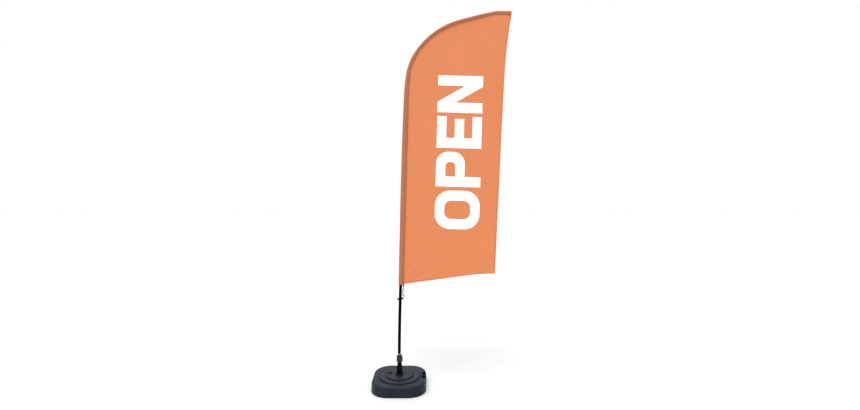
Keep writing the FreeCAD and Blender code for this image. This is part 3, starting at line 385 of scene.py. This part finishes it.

# ---------------------------------------------------------------- pole sleeve
# A tube of the flag's own knitted polyester that is sewn along the flag and slides over the mast.
# It is round over the mast and closes to the seam, and where the thin rod bends it draws narrower
# and puckers. Its colour is the flag's orange with painted shade, for two layers over a black pole.

lean = math.radians(1.57)
foot = np.array([-0.0025, 0.268])
# (length, radius of its arc or 0 where straight), from the mast's foot to its tip
straight_run, tip_run = 1.669, 0.111
arc_turns = [(21.0, 0.4, 1.57), (1.715, 1.57, 8.2), (0.443, 8.2, 32.8), (0.628, 32.8, 74.3)]
arc_turns += [(3.72, 74.3, 78.9), (0.15, 78.9, 90.0)]
arcs = [(radius, math.radians(start), math.radians(end)) for radius, start, end in arc_turns]
runs = [(radius * (end - start), start, end) for radius, start, end in arcs]
runs.insert(1, (straight_run, lean, lean))
runs.append((tip_run, math.pi / 2, math.pi / 2))
mast_length = sum(run[0] for run in runs)


def mast_line(distance, inset=0.0):
    """Places, in X and Z, and leans on the mast at distances from its foot, inset towards the flag.
    The mast is arcs and straight runs end to end: in each, the lean grows evenly with distance, and
    the place is the run's start plus the heading summed over the way."""
    distance = np.asarray(distance, float)
    turn = np.zeros_like(distance)
    place = np.zeros((*distance.shape, 2))
    start, done = foot.copy(), 0.0
    for length, low, high in runs:
        way = np.clip(distance - done, 0, length)
        here = low + (high - low) * way / length
        if high > low:
            radius = length / (high - low)
            east, up = radius * (math.cos(low) - np.cos(here)), radius * (np.sin(here) - math.sin(low))
        else:
            east, up = way * math.sin(low), way * math.cos(low)
        inside = (distance >= done) | (done == 0)
        place[inside] = (start + np.stack([east, up], axis=-1))[inside]
        turn[inside] = here[inside]
        last = length * np.array([math.sin(low), math.cos(low)])
        if high > low:
            last = radius * np.array([math.cos(low) - math.cos(high), math.sin(high) - math.sin(low)])
        start, done = start + last, done + length
    side = np.stack([np.cos(turn), -np.sin(turn)], axis=-1)
    return place + side * np.asarray(inset)[..., None], turn


def flat_place(place):
    """Flat cloth coordinates of places in X and Z: across from the straight run, and up along it."""
    level = place - foot
    across = level[..., 0] * math.cos(lean) - level[..., 1] * math.sin(lean)
    up = level[..., 0] * math.sin(lean) + level[..., 1] * math.cos(lean)
    return np.stack([across, up], axis=-1)


sleeve_start = 0.567
bend_start = runs[0][0] + straight_run
narrowing = (sleeve_start, 1.26, 1.68, bend_start, bend_start + 0.35, mast_length - 0.35, mast_length)


def sleeve_size(distance):
    """The sleeve's round radius, and how far its seam and its outer edge are from the mast's centre
    line."""
    radius = np.interp(distance, narrowing, (0.0165, 0.0165, 0.0165, 0.0155, 0.0124, 0.0116, 0.0138))
    seam = np.interp(distance, narrowing, (0.0268, 0.0265, 0.026, 0.0255, 0.018, 0.0165, 0.0225))
    outer = np.interp(distance, narrowing, (0.018, 0.0212, 0.0215, 0.0165, 0.0135, 0.0128, 0.0135))
    return radius, seam, outer


def sleeve_ring(distance, extra=0.0, count=48):
    """Points round the sleeve at each distance. The section is a teardrop: a circle, held at the
    outer edge, with two straight flanks that meet at the seam. From the seam, reach is the radius
    over the cosine of the angle left until the flank touches the circle. Puckers are ripples along
    the flanks, small on the straight and larger through the bend."""
    radius, seam, outer = sleeve_size(distance)
    centre = radius - outer
    tip = seam - centre
    flank = np.arccos(radius / tip)[:, None]
    angle = np.linspace(-math.pi, math.pi, count, endpoint=False)[None]
    left = np.clip(flank - np.abs(angle), 0, None)
    reach = radius[:, None] / np.cos(left)
    way = distance[:, None]
    bend = np.interp(way, narrowing, (0.25, 0.25, 0.25, 0.4, 1.0, 0.8, 0.25))
    ripple = np.sin(way * 2 * math.pi / 0.034 + 3 * np.sin(way * 19) + 2.2 * np.sign(angle))
    slack = np.sin(way * 2 * math.pi / 0.31 + angle)
    flank_only = np.sin(angle) ** 2
    give = 0.0009 * bend * (0.5 - 0.5 * ripple) * (0.5 + 0.5 * np.cos(angle)) + 0.0004 * (1 + slack)
    reach = reach + extra - give * flank_only
    spine, turn = mast_line(distance)
    side = np.stack([np.cos(turn), np.zeros_like(turn), -np.sin(turn)], axis=-1)
    spot = np.stack([spine[:, 0], np.zeros_like(turn), spine[:, 1]], axis=-1)
    inwards = centre[:, None] + reach * np.cos(angle)
    ring = spot[:, None] + side[:, None] * inwards[..., None]
    ring[..., 1] += reach * np.sin(angle)
    return ring


def knit(finish, flat, pitch=0.0013):
    """The height, from 0 to 1, of knitted cloth: rows of small loops, a wave across each wale
    crossed by a wave along it that is half a step out in every other wale."""
    across, up, _ = finish.parts(flat)
    wale = (across * (2 * math.pi / pitch)).sine()
    course = (up * (2 * math.pi / pitch) + wale * 1.2).sine()
    return wale * 0.25 + course * 0.25 + 0.5


cloth_orange = (0.64, 0.203, 0.075)
# Painted shade: the sleeve is coloured as a darker copy of the flag's orange.
sleeve_shaded_orange = (0.4, 0.136, 0.058)


def cloth_finish(name, colour, sheen=0.12):
    """Printed knitted polyester: the knit's relief, a soft sheen, and ink that varies a little."""
    finish = Finish(name, Sheen_Weight=sheen, Sheen_Roughness=0.4, IOR=1.45)
    flat = finish.node("ShaderNodeUVMap", {"uv_map": "cloth"})
    loops = knit(finish, flat)
    blotch = finish.noise(flat, 6.0, 3.0)
    ink = finish.mix(blotch, shade(colour, 0.97), shade(colour, 1.03))
    finish.roughness(0.74 + 0.08 * loops)
    finish.bump(loops, 0.00012)
    return finish, flat, loops, ink


sleeve_finish, flat, loops, ink = cloth_finish("sleeve_cloth", sleeve_shaded_orange)
sleeve_finish.colour(sleeve_finish.mix(loops * 0.12, ink, shade(sleeve_shaded_orange, 0.75)))


def sleeve_piece(name, low, high, rows, extra, finish, closed_end=False):
    """A length of sleeve between two distances, with its flat places along and round it."""
    distance = np.linspace(low, high, rows)
    ring = sleeve_ring(distance, extra)
    if closed_end:
        middle = ring[-1].mean(axis=0)
        shrink = np.array([0.72, 0.36, 0.0])[:, None, None]
        ring = np.concatenate([ring, middle + (ring[-1] - middle) * shrink])
        distance = np.concatenate([distance, high + 0.004 * np.arange(1, 4)])
    columns = ring.shape[1]
    around = np.linspace(0, 0.11, columns)
    cloth = np.stack(np.meshgrid(around, distance, indexing="xy"), axis=-1)
    return surface(name, ring, finish, wrap=(False, True), cloth=cloth)


def thickened(made, thickness, offset=0.0):
    """Gives cloth its thickness."""
    wall = made.modifiers.new("thickness", "SOLIDIFY")
    wall.thickness = thickness
    wall.offset = offset
    return made


sleeve_end = mast_length - 0.1
sleeve = sleeve_piece("sleeve_cloth", sleeve_start, sleeve_end, 900, 0.0, sleeve_finish)
thickened(sleeve, 0.0005)
hem_start, hem_end = sleeve_start - 0.0004, sleeve_start + 0.012
foot_hem = sleeve_piece("sleeve_foot_hem", hem_start, hem_end, 12, 0.0006, sleeve_finish)
thickened(foot_hem, 0.0007)
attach(foot_hem, "mast")
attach(sleeve, "mast")
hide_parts("pole_sleeve")

# ---------------------------------------------------------------- tip pocket
# The mast's tip pushes into a pocket of the same cloth, doubled and closed at its end so that the
# rod doesn't wear through. It is sewn over the end of the sleeve.

# Painted shade: like the sleeve, the doubled cloth is coloured as a darker copy of the flag's orange.
pocket_finish, flat, loops, ink = cloth_finish("pocket_cloth", (0.42, 0.14, 0.078))
pocket_finish.colour(pocket_finish.mix(loops * 0.12, ink, (0.3, 0.1, 0.062, 1)))
pocket_start, pocket_end = mast_length - 0.12, mast_length - 0.0005
pocket = sleeve_piece("tip_pocket_cloth", pocket_start, pocket_end, 60, 0.0009, pocket_finish, True)
thickened(pocket, 0.0006)
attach(pocket, "mast")
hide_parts("tip_pocket")

# ---------------------------------------------------------------- flag panel
# One layer of knitted polyester, printed orange, sewn to the sleeve along its left side and top.
# The bent rod holds it taut. It hangs almost flat, with long shallow waves that grow towards the
# free edge and faint pull lines from its lower corner.

free_corner = np.array([0.786, 0.926])
free_lean, free_run = math.radians(2.75), 1.59
bottom_lean, bottom_run = math.radians(90 - 7.9), 0.524
panel_start = 0.571


def heading(angle):
    """The direction, in X and Z, that leans from upright towards +X."""
    return np.array([math.sin(angle), math.cos(angle)])


def run_then_arc(start, angle, length, end, share):
    """Places at shares of a line that runs straight for a length and then bends in one arc to its
    end. The arc turns evenly from the run's heading to twice the turn of its chord."""
    bend = start + heading(angle) * length
    chord = end - bend
    turn = 2 * (math.atan2(chord[0], chord[1]) - angle)
    arc = np.hypot(*chord) * (turn / 2) / math.sin(turn / 2)
    way = np.asarray(share) * (length + arc)
    past = np.clip(way - length, 0, None)
    here = turn * past / arc
    radius = arc / turn
    east = radius * (math.cos(angle) - np.cos(angle + here))
    up = radius * (np.sin(angle + here) - math.sin(angle))
    line = start + np.clip(way, 0, length)[:, None] * heading(angle)
    return line + np.stack([east, up], axis=-1)


panel_top = mast_line(np.array([mast_length]), sleeve_size(np.array([mast_length]))[1])[0][0]
panel_foot = mast_line(np.array([panel_start]), sleeve_size(np.array([panel_start]))[1])[0][0]


def free_edge(share):
    return run_then_arc(free_corner, free_lean, free_run, panel_top, share)


def bottom_edge(share):
    return run_then_arc(panel_foot, bottom_lean, bottom_run, free_corner, share)


def seam_edge(distance):
    return mast_line(distance, sleeve_size(distance)[1] - 0.002)[0]


def wave(place):
    """How far the cloth stands from flat at places in X and Z: three long crossing waves, nothing
    at the seam and growing towards the free edge, and narrow pull lines that fan out from the lower
    corner by the mast and fade within half a metre."""
    x, z = place[..., 0], place[..., 1]
    free = np.clip((x - 0.04) / 0.8, 0, 1)
    swell = 0.0045 * np.sin(5.2 * x + 2.1 * z) + 0.003 * np.sin(9.0 * x - 3.3 * z + 1.0)
    swell = swell + 0.002 * np.sin(3.0 * x + 7.4 * z + 2.0)
    away = place - panel_foot
    reach = np.hypot(away[..., 0], away[..., 1])
    fan = np.arctan2(away[..., 1], np.maximum(away[..., 0], 1e-4))
    pull = 0.0011 * np.sin(17 * fan) * np.exp(-(((reach - 0.14) / 0.12) ** 2))
    crown = place - panel_top
    above = np.hypot(crown[..., 0], crown[..., 1])
    sag = 0.0012 * np.sin(above * 30) * np.exp(-above / 0.25)
    return free**1.3 * swell + pull * np.clip((x - 0.035) * 30, 0, 1) + sag * free


rows, columns = 260, 110
up = np.linspace(0, 1, rows)
across = np.linspace(0, 1, columns)
across = across - 0.05 * np.sin(2 * math.pi * across)
left = seam_edge(panel_start + up * (pocket_start - panel_start))
top = seam_edge(pocket_start + across * (mast_length - pocket_start))
right, low = free_edge(up), bottom_edge(across)
u, v = across[None, :, None], up[:, None, None]
# Each point is between the side edges, plus what the top and bottom edges add to straight lines.
panel = (1 - u) * left[:, None] + u * right[:, None] + (1 - v) * low[None] + v * top[None]
panel -= (1 - v) * ((1 - u) * low[0] + u * low[-1]) + v * ((1 - u) * top[0] + u * top[-1])

panel_finish, flat, loops, ink = cloth_finish("flag_cloth", cloth_orange)
side, along, _ = panel_finish.parts(flat)

# The word is printed in plain block capitals that read up the mast, so a letter's own width runs
# along the mast and its height runs from the free edge towards the mast.
letter_height, stroke, arm, letter_gap = 0.37, 0.084, 0.078, 0.031
word_left, word_foot = 0.26, 1.035
letter_widths = (0.318, 0.288, 0.262, 0.306)
height = word_left + letter_height - side


def bar(x, y, x_low, x_high, y_low, y_high):
    """A filled rectangle: 1 inside and 0 outside."""
    return (x > x_low) * (x < x_high) * (y > y_low) * (y < y_high)


def rounded(x, y, x_low, x_high, y_low, y_high, radius):
    """A filled rectangle with round corners: the length of what reaches past the inner rectangle,
    in both directions, is under the radius."""
    past_x = (abs(x - (x_low + x_high) / 2) - ((x_high - x_low) / 2 - radius)).at_least(0.0)
    past_y = (abs(y - (y_low + y_high) / 2) - ((y_high - y_low) / 2 - radius)).at_least(0.0)
    return (past_x * past_x + past_y * past_y) < radius * radius


def letter_o(x, y, width):
    outer = rounded(x, y, 0, width, 0, letter_height, 0.125)
    return outer * (1 - rounded(x, y, stroke, width - stroke, arm, letter_height - arm, 0.055))


def letter_p(x, y, width):
    low = letter_height - 0.238
    bowl = rounded(x, y, -0.2, width, low, letter_height, 0.1) * (x > 0.0)
    hole = rounded(x, y, -0.2, width - stroke, low + arm, letter_height - arm, 0.035) * (x > stroke)
    return (bar(x, y, 0, stroke, 0, letter_height) + bowl * (1 - hole)).at_most(1.0)


def letter_e(x, y, width):
    middle = (letter_height - arm) / 2
    drawn = bar(x, y, 0, stroke, 0, letter_height)
    for low, long in ((0, width), (middle, width - 0.02), (letter_height - arm, width)):
        drawn = drawn + bar(x, y, 0, long, low, low + arm)
    return drawn.at_most(1.0)


def letter_n(x, y, width):
    steep = letter_height / (width - stroke)
    off_line = abs(y - letter_height / 2 + steep * (x - width / 2))
    slant = (off_line < steep * stroke / 2 * 1.08) * bar(x, y, 0, width, 0, letter_height)
    stems = bar(x, y, 0, stroke, 0, letter_height) + bar(x, y, width - stroke, width, 0, letter_height)
    return (stems + slant).at_most(1.0)


word = 0.0
letter_foot = word_foot
for letter, width in zip((letter_o, letter_p, letter_e, letter_n), letter_widths, strict=True):
    word = letter(along - letter_foot, height, width) + word
    letter_foot += width + letter_gap
white_ink = (0.9, 0.925, 0.955, 1.0)
printed = panel_finish.mix(word, ink, white_ink)
panel_finish.colour(panel_finish.mix(loops * 0.08, printed, shade(cloth_orange, 0.8)))


def in_space(place, depth):
    """Points in space from places in X and Z and their depths in Y."""
    return np.stack([place[..., 0], depth, place[..., 1]], axis=-1)


flag = surface("flag_cloth", in_space(panel, wave(panel)), panel_finish, cloth=flat_place(panel))
thickened(flag, 0.0005)
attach(flag, "mast")
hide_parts("flag_panel")

# ---------------------------------------------------------------- hems and stitching
# The free edge and the bottom edge are turned over twice and sewn, which makes a flat band 12 mm
# wide. The seam at the sleeve has two rows of stitches, each a short length of orange thread.

hem_width, hem_half = 0.012, 0.0007
hem_finish, flat, loops, ink = cloth_finish("hem_cloth", shade(cloth_orange, 0.93)[:3])
hem_finish.colour(hem_finish.mix(loops * 0.1, ink, shade(cloth_orange, 0.7)))


def edge_frame(line):
    """Unit directions along a line of places and square to it, to its left."""
    ahead = np.gradient(line, axis=0)
    ahead /= np.linalg.norm(ahead, axis=1, keepdims=True)
    return ahead, np.stack([-ahead[:, 1], ahead[:, 0]], axis=-1)


def hem(name, line):
    """A flat band folded round an edge: a closed flat oval carried along the edge, with its round
    side just past it, and following the cloth's waves."""
    inward = edge_frame(line)[1]
    way = np.concatenate([[0], np.cumsum(np.linalg.norm(np.diff(line, axis=0), axis=1))])
    angle = np.linspace(0, 2 * math.pi, 16, endpoint=False)
    depth = np.clip(1.4 * np.cos(angle), -1, 1) * hem_width / 2 + hem_width / 2 - 0.0004
    proud = np.sin(angle) * hem_half * np.where(np.cos(angle) < 0, 1.15, 1.0)
    place = line[:, None] + inward[:, None] * depth[None, :, None]
    points = in_space(place, wave(place) + proud[None])
    cloth = np.stack(np.meshgrid(depth, way, indexing="xy"), axis=-1)
    made = surface(name, points, hem_finish, wrap=(False, True), cloth=cloth)
    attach(made, "mast")
    return made


hem_steps = np.linspace(0.001, 0.9985, 420)
free_hem = hem("free_edge_hem", free_edge(hem_steps))
bottom_hem = hem("bottom_hem", bottom_edge(np.linspace(0.001, 0.998, 180)))

thread_finish = Finish("thread", Roughness=0.5)
thread_tone = thread_finish.noise(thread_finish.place(), 2500.0)
thread_finish.colour(
    thread_finish.mix(thread_tone, shade(cloth_orange, 0.5), shade(cloth_orange, 0.82))
)


def stitches(name, line, depth, proud, pitch=0.0042, long=0.003, half=0.0003):
    """A row of stitches on both faces of the cloth. Each is a short spindle of thread with a flat
    square section: three rings of four points, widest in the middle."""
    way = np.concatenate([[0], np.cumsum(np.linalg.norm(np.diff(line, axis=0), axis=1))])
    spots = np.arange(pitch, way[-1] - pitch, pitch)
    place = np.stack([np.interp(spots, way, line[:, axis]) for axis in range(2)], axis=-1)
    ahead, left = edge_frame(place)
    place = place + left * depth
    reach = np.array([-0.5, 0.0, 0.5])[:, None] * long
    girth = np.array([0.35, 1.0, 0.35])[:, None] * half
    corner = np.linspace(0, 2 * math.pi, 4, endpoint=False)[None]
    shift = girth * np.cos(corner)
    lift = girth * np.sin(corner)
    groups = []
    for face in (-1, 1):
        spot = place[:, None, None] + ahead[:, None, None] * reach[None, ..., None]
        spot = spot + left[:, None, None] * shift[None, ..., None]
        groups.append(in_space(spot, wave(spot) + face * proud + lift[None]))
    points = np.concatenate(groups)
    ring = np.arange(4)
    ahead_one = (ring + 1) % 4
    sides = [np.stack([ring, ahead_one, 4 + ahead_one, 4 + ring], 1) + row for row in (0, 4)]
    template = np.concatenate([*sides, [[3, 2, 1, 0]], [[8, 9, 10, 11]]])
    faces = (template[None] + 12 * np.arange(len(points))[:, None, None]).reshape(-1, 4)
    made = piece(name, points.reshape(-1, 3), faces, thread_finish)
    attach(made, "mast")
    return made


seam_way = np.linspace(panel_start + 0.004, mast_length - 0.004, 700)
free_thread = stitches("free_edge_stitches", free_edge(hem_steps), hem_width - 0.003, hem_half)
bottom_line = bottom_edge(np.linspace(0.004, 0.99, 180))
bottom_thread = stitches("bottom_stitches", bottom_line, hem_width - 0.003, hem_half)
seam_threads = [
    stitches(f"seam_stitches_{number}", seam_edge(seam_way)[::-1], inset, 0.0004)
    for number, inset in enumerate((0.003, 0.0075), start=1)
]

# ---------------------------------------------------------------- corner tab and its eyelet
# A short flat tab of black webbing is sewn into the foot of the sleeve. A pressed black eyelet
# lines its hole.

tab_low, tab_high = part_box("corner_tab")
tab_middle, tab_hole = (tab_low.x + tab_high.x) / 2, 0.834
hole_radius = 0.0024


def webbing(name, pitch=0.0011):
    """Black woven tape: raised ribs along it, crossed by finer picks."""
    finish = Finish(name, Specular_IOR_Level=0.05)
    x, _, z = finish.parts(finish.place())
    rib = (x * (2 * math.pi / pitch)).sine()
    pick = (z * (2 * math.pi / pitch) + rib).sine()
    weave = rib * 0.25 + pick * 0.25 + 0.5
    finish.colour(finish.mix(weave, (0.003, 0.003, 0.0035, 1), (0.018, 0.018, 0.02, 1)))
    finish.roughness(0.7 + 0.2 * weave)
    finish.bump(weave, 0.00015)
    return finish


tape = webbing("black_webbing")
angle = np.linspace(0, 2 * math.pi, 64, endpoint=False)
ray = np.stack([np.cos(angle), np.sin(angle)], axis=-1)
half_width = (tab_high.x - tab_low.x) / 2
room = np.where(ray[:, 1] > 0, tab_high.z - tab_hole, tab_hole - tab_low.z)
# Each ray from the hole's middle reaches the tab's edge, a rectangle with softened corners.
edge_reach = (np.abs(ray[:, 0] / half_width) ** 8 + np.abs(ray[:, 1] / room) ** 8) ** (-1 / 8)
share = np.array([0, 0.12, 0.5, 0.92, 1.0, 1.0, 0.92, 0.5, 0.12, 0.0])
lift = np.array([0.7, 1, 1, 1, 0.6, -0.6, -1, -1, -1, -0.7]) * tab_high.y
spread = hole_radius + (edge_reach[:, None] - hole_radius) * share[None]
tab_points = np.stack(
    [
        tab_middle + ray[:, :1] * spread,
        np.broadcast_to(lift[None], spread.shape),
        tab_hole + ray[:, 1:] * spread,
    ],
    axis=-1,
)
tab = surface("webbing_tab", tab_points, tape, wrap=(True, True))
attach(tab, "mast")
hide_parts("corner_tab")

blackened_steel = turned_steel("blackened_steel", (0.022, 0.022, 0.024), 0.34)
turn = np.linspace(0, 2 * math.pi, 48, endpoint=False)[:, None]
roll = np.linspace(0, 2 * math.pi, 16, endpoint=False)[None]
eyelet_radius = 0.0034 + 0.0011 * np.cos(roll)
eyelet = surface(
    "tab_eyelet",
    np.stack(
        [
            tab_middle + eyelet_radius * np.cos(turn),
            np.broadcast_to(0.0018 * np.sin(roll), (48, 16)),
            tab_hole + eyelet_radius * np.sin(turn),
        ],
        axis=-1,
    ),
    blackened_steel,
    wrap=(True, True),
)
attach(eyelet, "mast")

# ---------------------------------------------------------------- elastic loop
# A loop of black elastic cord, closed by a blackened crimp, joins the tab to the snap hook and keeps
# the flag pulled down. Its braided cover is a set of strands that cross each other.

loop_low, loop_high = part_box("elastic_loop")
strand = (loop_high.x - loop_low.x) / 2
bend_radius = (loop_high.y - loop_low.y) / 2 - strand
low_bend, high_bend = loop_low.z + strand + bend_radius, loop_high.z - strand - bend_radius
straight = high_bend - low_bend
round_length = 2 * straight + 2 * math.pi * bend_radius
way = np.linspace(0, round_length, 320, endpoint=False)
half_round = math.pi * bend_radius
down = np.clip(way, 0, straight)
lower = np.clip(way - straight, 0, half_round) / bend_radius
rise = np.clip(way - straight - half_round, 0, straight)
upper = np.clip(way - 2 * straight - half_round, 0, half_round) / bend_radius
# Down one side, round the lower bend, up the other side and round the upper bend.
on_bend = lower + upper
line_y = -bend_radius * np.cos(on_bend)
line_z = high_bend - down + rise - bend_radius * np.sin(lower) + bend_radius * np.sin(upper)
out_y, out_z = -np.cos(on_bend), np.where(upper > 0, np.sin(upper), -np.sin(lower))
roll = np.linspace(0, 2 * math.pi, 32, endpoint=False)[None]
twist = 2 * math.pi * np.round(round_length / 0.009) / round_length * way[:, None]
braid = np.abs(np.sin(roll * 4 + twist)) + np.abs(np.sin(roll * 4 - twist))
girth = strand - 0.00022 + 0.00011 * braid
cord_points = np.stack(
    [
        (loop_low.x + loop_high.x) / 2 + girth * np.cos(roll),
        line_y[:, None] + out_y[:, None] * girth * np.sin(roll),
        line_z[:, None] + out_z[:, None] * girth * np.sin(roll),
    ],
    axis=-1,
)
roll_flat = np.broadcast_to(roll / (2 * math.pi), braid.shape)
cord_cloth = np.stack([roll_flat, np.broadcast_to(way[:, None] / 0.009, braid.shape)], axis=-1)
elastic_finish = Finish("elastic_braid", Specular_IOR_Level=0.05)
flat = elastic_finish.node("ShaderNodeUVMap", {"uv_map": "cloth"})
around, along, _ = elastic_finish.parts(flat)
crossing = ((around + along) * (8 * math.pi)).sine() * ((around - along) * (8 * math.pi)).sine()
fleck = crossing * 0.5 + 0.5
elastic_finish.colour(elastic_finish.mix(fleck, (0.002, 0.002, 0.0025, 1), (0.014, 0.014, 0.016, 1)))
elastic_finish.roughness(0.6 + 0.2 * fleck)
elastic_finish.bump(fleck, 0.0002)
elastic = surface("elastic_cord", cord_points, elastic_finish, wrap=(True, True), cloth=cord_cloth)
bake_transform(elastic)
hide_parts("elastic_loop")
paint(blackened_steel, "loop_crimp")

# ---------------------------------------------------------------- snap hook and tension ring
# The hook is bent from blackened steel wire and has a sprung gate on a pin. The ring is black
# moulded plastic that slides on the mast and grips it when it is pulled askew.

paint(blackened_steel, "snap_hook", "hook_gate", "gate_pin")
ring_plastic = moulded("ring_plastic", (0.002, 0.002, 0.0025), grain=1000.0, rough=0.4, worn=3.0, gloss=0.04)
paint(ring_plastic, "tension_ring")
